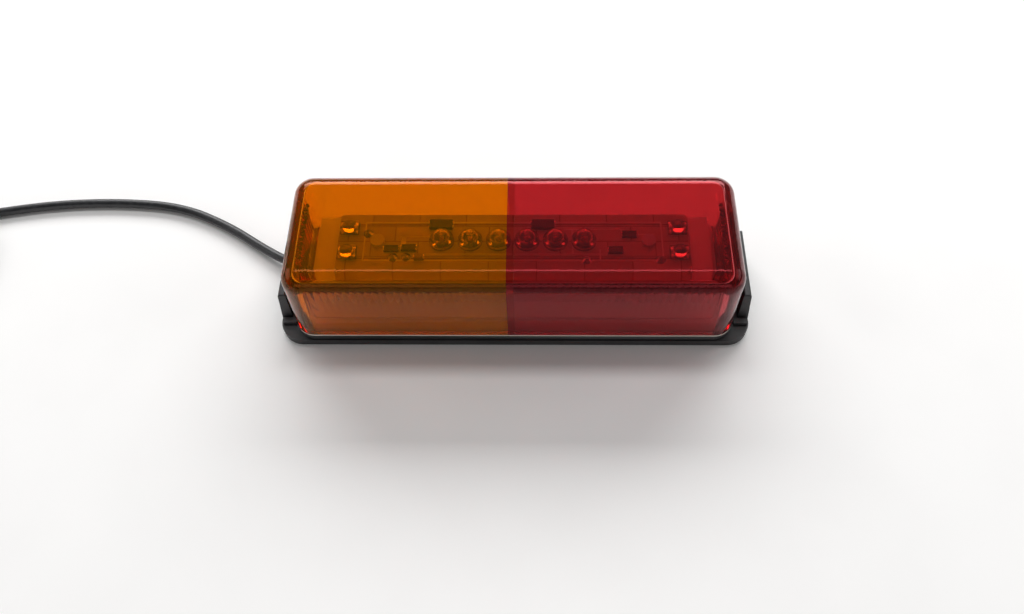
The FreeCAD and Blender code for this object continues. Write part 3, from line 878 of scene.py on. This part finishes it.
# ================================================================ light sources
LED_R = 2.35 * MM
LED_FLANGE_R = 2.65 * MM
LED_FLANGE = 0.8 * MM
LED_RIM = 0.12 * MM
LED_PITCH = 6.0 * MM
LEDS_PER_COLOUR = 3
# silvered cup, (radius, height) in mm: up its outside, over its lip and down to the die's floor
CUP_PROFILE = (
    (0, 0.15),
    (0.75, 0.15),
    (1.15, 1.15),
    (1.25, 1.3),
    (1.15, 1.35),
    (1.0, 1.25),
    (0.55, 0.75),
    (0, 0.75),
)
# low and high corners in mm
POST = ((1.45, -0.4, 0.15), (1.75, 0.4, 1.5))
DIE = ((-0.3, -0.3, 0.76), (0.3, 0.3, 0.98))
END_BODY = ((-2.0, -1.55, 0), (2.0, 1.55, 0.9))
END_PAD = ((-0.8, -0.9, 0.04), (0.8, 0.9, 0.16))
END_DOME_R = 1.55 * MM
END_DOME_FOOT = 0.92 * MM
# bright lead frames of an end package: low and high level, and plan corners in mm of one side
END_FRAME_LEVELS = (0.2, 0.42)
END_FRAME_PLANS = (
    ((0.95, -1.25), (1.75, 1.25)),
    ((1.7, -1.0), (2.0, -0.2)),
    ((1.7, 0.2), (2.0, 1.0)),
)
END_FRAME_TONGUE = ((0.35, 0.3), (1.0, 0.95))


def in_metres(corners):
    return [tuple(value * MM for value in corner) for corner in corners]


def make_round_leds(board_top):
    """Three domes in each half, each over a silvered cup with its die, and a post beside it."""
    top = LED_FLANGE
    profile = [(LED_FLANGE_R - LED_RIM, 0), (LED_FLANGE_R, LED_RIM), (LED_FLANGE_R, top - LED_RIM)]
    profile += [(LED_FLANGE_R - LED_RIM, top), *arc(LED_R, top, 0, 88, 14), (0, top + LED_R)]
    cup = in_metres(CUP_PROFILE)
    post = boxes("post", [in_metres(POST)], 0.06 * MM)
    die = boxes("die", [in_metres(DIE)], 0.03 * MM)
    for colour, side, epoxy, die_finish in (
        ("amber", -1, AMBER_EPOXY, AMBER_DIE),
        ("red", 1, RED_EPOXY, RED_DIE),
    ):
        first = (side * LED_PITCH / 2, 0, board_top + LIFT)
        step = (side * LED_PITCH, 0, 0)
        nodes = [f"led_{colour}_{i + 1}" for i in range(LEDS_PER_COLOUR)]
        for name, part, finish, angle, slot, replaced in (
            ("led_domes", turned("dome", profile), epoxy, 40, f"led_{colour}", nodes),
            ("led_cups", turned("cup", cup, 24), SILVER, 40, "solder", ()),
            ("led_posts", post, SILVER, 35, "solder", ()),
            ("led_dies", die, die_finish, 35, f"led_{colour}", ()),
        ):
            row = row_of(f"{name}_{colour}", part, LEDS_PER_COLOUR, first, step, finish, angle)
            mounted(row, slot, *replaced)


def make_end_leds():
    """Low square packages at the ends: body and dome over bright lead frames and a dark pad."""
    low_z, high_z = (z * MM for z in END_FRAME_LEVELS)
    spans = []
    for side in (-1, 1):
        (xa, ya), (xb, yb) = END_FRAME_TONGUE
        plans = [((side * x0, y0), (side * x1, y1)) for (x0, y0), (x1, y1) in END_FRAME_PLANS]
        plans.insert(1, ((side * xa, side * ya), (side * xb, side * yb)))
        for near, far in plans:
            x0, x1 = sorted((near[0], far[0]))
            y0, y1 = sorted((near[1], far[1]))
            spans.append(((x0 * MM, y0 * MM, low_z), (x1 * MM, y1 * MM, high_z)))
    frame_mesh = boxes("frames", spans, 0.04 * MM)
    pad = boxes("pad", [in_metres(END_PAD)], 0.02 * MM)
    body = boxes("body", [in_metres(END_BODY)], 0.15 * MM)
    dome_top = END_DOME_FOOT + END_DOME_R
    dome = turned("dome", [*arc(END_DOME_R, END_DOME_FOOT, 0, 86, 10), (0, dome_top)])
    for colour, epoxy in (("amber", AMBER_EPOXY), ("red", RED_EPOXY)):
        nodes = [f"led_{colour}_end_1", f"led_{colour}_end_2"]
        low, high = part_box(nodes[0])
        other_low, other_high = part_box(nodes[1])
        first = ((low[0] + high[0]) / 2, (low[1] + high[1]) / 2, low[2] + LIFT)
        step = (0, (other_low[1] + other_high[1]) / 2 - first[1], 0)
        for name, part, finish, angle, slot, replaced in (
            ("end_led_bodies", body, epoxy, 35, f"led_{colour}", nodes),
            ("end_led_domes", dome, epoxy, 40, f"led_{colour}", ()),
            ("end_led_frames", frame_mesh, SILVER, 35, "solder", ()),
            ("end_led_pads", pad, DARK_PAD, 35, "chip", ()),
        ):
            row = row_of(f"{name}_{colour}", part, len(nodes), first, step, finish, angle)
            mounted(row, slot, *replaced)


TRACKS = (
    # x from, x to, y from, y to (mm), on top of the board
    (-31.5, 31.5, 4.65, 5.0),
    (-31.5, 31.5, -5.0, -4.65),
    (-24.0, -16.0, 1.0, 1.25),
    (-18.5, 0.0, -3.35, -3.1),
    (0.5, 19.0, -3.35, -3.1),
    (-23.6, -22.6, -1.9, 1.25),
    (10.8, 23.0, 2.9, 3.15),
    (12.5, 12.8, -3.35, 3.15),
    (-31.6, -31.3, -5.0, 5.0),
    (31.3, 31.6, -5.0, 5.0),
    (18.2, 18.5, -4.8, -2.0),
    (26.4, 30.0, 1.6, 1.9),
)


TRACK_HEIGHT = 0.07 * MM
TRACK_SINK = 0.02 * MM
CHIPS = ("resistor_1", "resistor_2", "resistor_3", "resistor_4", "diode_1", "diode_2", "capacitor")
TERMINAL_OUT = 0.12 * MM
TERMINAL_LAP = 0.15 * MM
TERMINAL_INSET = 0.25 * MM
TERMINAL_SHARE = 0.8


def make_board_details(board_top):
    """Raised copper tracks under the mask, and a bright terminal at each end of the chips."""
    z0 = board_top - TRACK_SINK
    z1 = z0 + TRACK_HEIGHT
    spans = [((x0 * MM, y0 * MM, z0), (x1 * MM, y1 * MM, z1)) for x0, x1, y0, y1 in TRACKS]
    mounted(new_object("board_tracks", boxes("board_tracks", spans, 0), TRACK), "board")
    spans = []
    for node in CHIPS:
        low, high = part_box(node)
        top = low[2] + TERMINAL_SHARE * (high[2] - low[2])
        y0, y1 = low[1] + TERMINAL_INSET, high[1] - TERMINAL_INSET
        spans.append(((low[0] - TERMINAL_OUT, y0, z0), (low[0] + TERMINAL_LAP, y1, top)))
        spans.append(((high[0] - TERMINAL_LAP, y0, z0), (high[0] + TERMINAL_OUT, y1, top)))
    terminals = boxes("chip_terminals", spans, 0.05 * MM)
    mounted(new_object("chip_terminals", terminals, SOLDER, 35), "solder")


# ================================================================ dark pips inside the lens ends, painted shade
PIP_COUNT = 13
PIP_R = 0.34 * MM
PIP_DEPTH = 0.7 * MM
PIP_SETBACK = 0.75 * MM
PIP_DROP = 0.35 * MM
# (radius, height) as shares of the pip's radius and depth, from its tip up
PIP_PROFILE = ((0, -1), (0.7, -0.95), (1, -0.7), (1, 0), (0, 0))


def make_painted_shade_pips():
    """Row of small dark pips hanging inside each end of the lens, under the roof: painted shade."""
    half_length, _, _, z1 = lens_shape()
    roof = z1 - TOP_WALL
    pip = turned("pip", [(r * PIP_R, z * PIP_DEPTH) for r, z in PIP_PROFILE], 12)
    x = half_length - END_WALL - LENS_DRAFT - PIP_SETBACK
    # each row is opaque and dark: painted shade under the lens roof
    for colour, side, finish in (("amber", -1, AMBER_PAINTED_SHADE_PIP), ("red", 1, RED_PAINTED_SHADE_PIP)):
        first = (side * x, -END_FLUTE_PITCH * (PIP_COUNT - 1) / 2, roof - PIP_DROP)
        step = (0, END_FLUTE_PITCH, 0)
        row = row_of(f"lens_pips_{colour}", pip, PIP_COUNT, first, step, finish, 40)
        mounted(row, f"lens_{colour}")


# ================================================================ base
COAT_INSET = 1.5 * MM
COAT_SLACK = 0.01 * MM


def make_base():
    """Black base whose upper part, inside the lens, has a white reflecting coat."""
    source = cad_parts["lamp_base"]
    work = bmesh.new()
    work.from_mesh(source.data)
    bmesh.ops.remove_doubles(work, verts=work.verts, dist=1e-6)
    mesh = bpy.data.meshes.new("lamp_base_coated")
    seal_low, seal_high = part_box("lens_seal")
    edge_x, edge_y = (seal_high[i] - COAT_INSET for i in (0, 1))
    foot = seal_low[2] - COAT_SLACK
    for face in work.faces:
        middle = face.calc_center_median()
        inside = abs(middle.x) < edge_x and abs(middle.y) < edge_y
        face.material_index = 1 if inside and middle.z > foot else 0
    work.to_mesh(mesh)
    work.free()
    piece = new_object("lamp_base_coated", mesh, BASE_ABS, 30)
    mesh.materials.append(WHITE_ABS)
    mounted(piece, "black_abs", "lamp_base")


# ================================================================ CAD pieces that keep their shape
def dress(node, material):
    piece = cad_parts[node]
    piece.data.materials.clear()
    piece.data.materials.append(material)
    return piece


def dress_cad_pieces():
    finishes = {
        "bracket": BLACK_ABS,
        "lens_seal": SEAL_RUBBER,
        "wire_grommet": GROMMET_RUBBER,
        "ground_contact": BRASS,
        "ground_strip": BRASS,
        "ground_rivet": BRASS,
        "ground_lead": COPPER,
        "power_lead": VINYL,
        "reflector_tray": WHITE_ABS,
        "end_reflector_amber": WHITE_ABS,
        "end_reflector_red": WHITE_ABS,
        "led_carrier": GREY_ABS,
        "circuit_board": BOARD,
        "diode_1": EPOXY_CHIP,
        "diode_2": EPOXY_CHIP,
        "resistor_1": EPOXY_CHIP,
        "resistor_2": EPOXY_CHIP,
        "resistor_3": EPOXY_CHIP,
        "resistor_4": EPOXY_CHIP,
        "capacitor": CERAMIC,
        "solder_joints": SOLDER,
    }
    for node, material in finishes.items():
        dress(node, material)


make_stage()
make_lights()
make_camera()
make_lead()
lens_half("lens_amber_shell", "lens_amber", -1, AMBER)
lens_half("lens_red_shell", "lens_red", 1, RED)
lens_seam()
make_painted_shade_pips()
make_base()
board_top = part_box("circuit_board")[1][2]
make_round_leds(board_top)
make_end_leds()
make_board_details(board_top)
dress_cad_pieces()
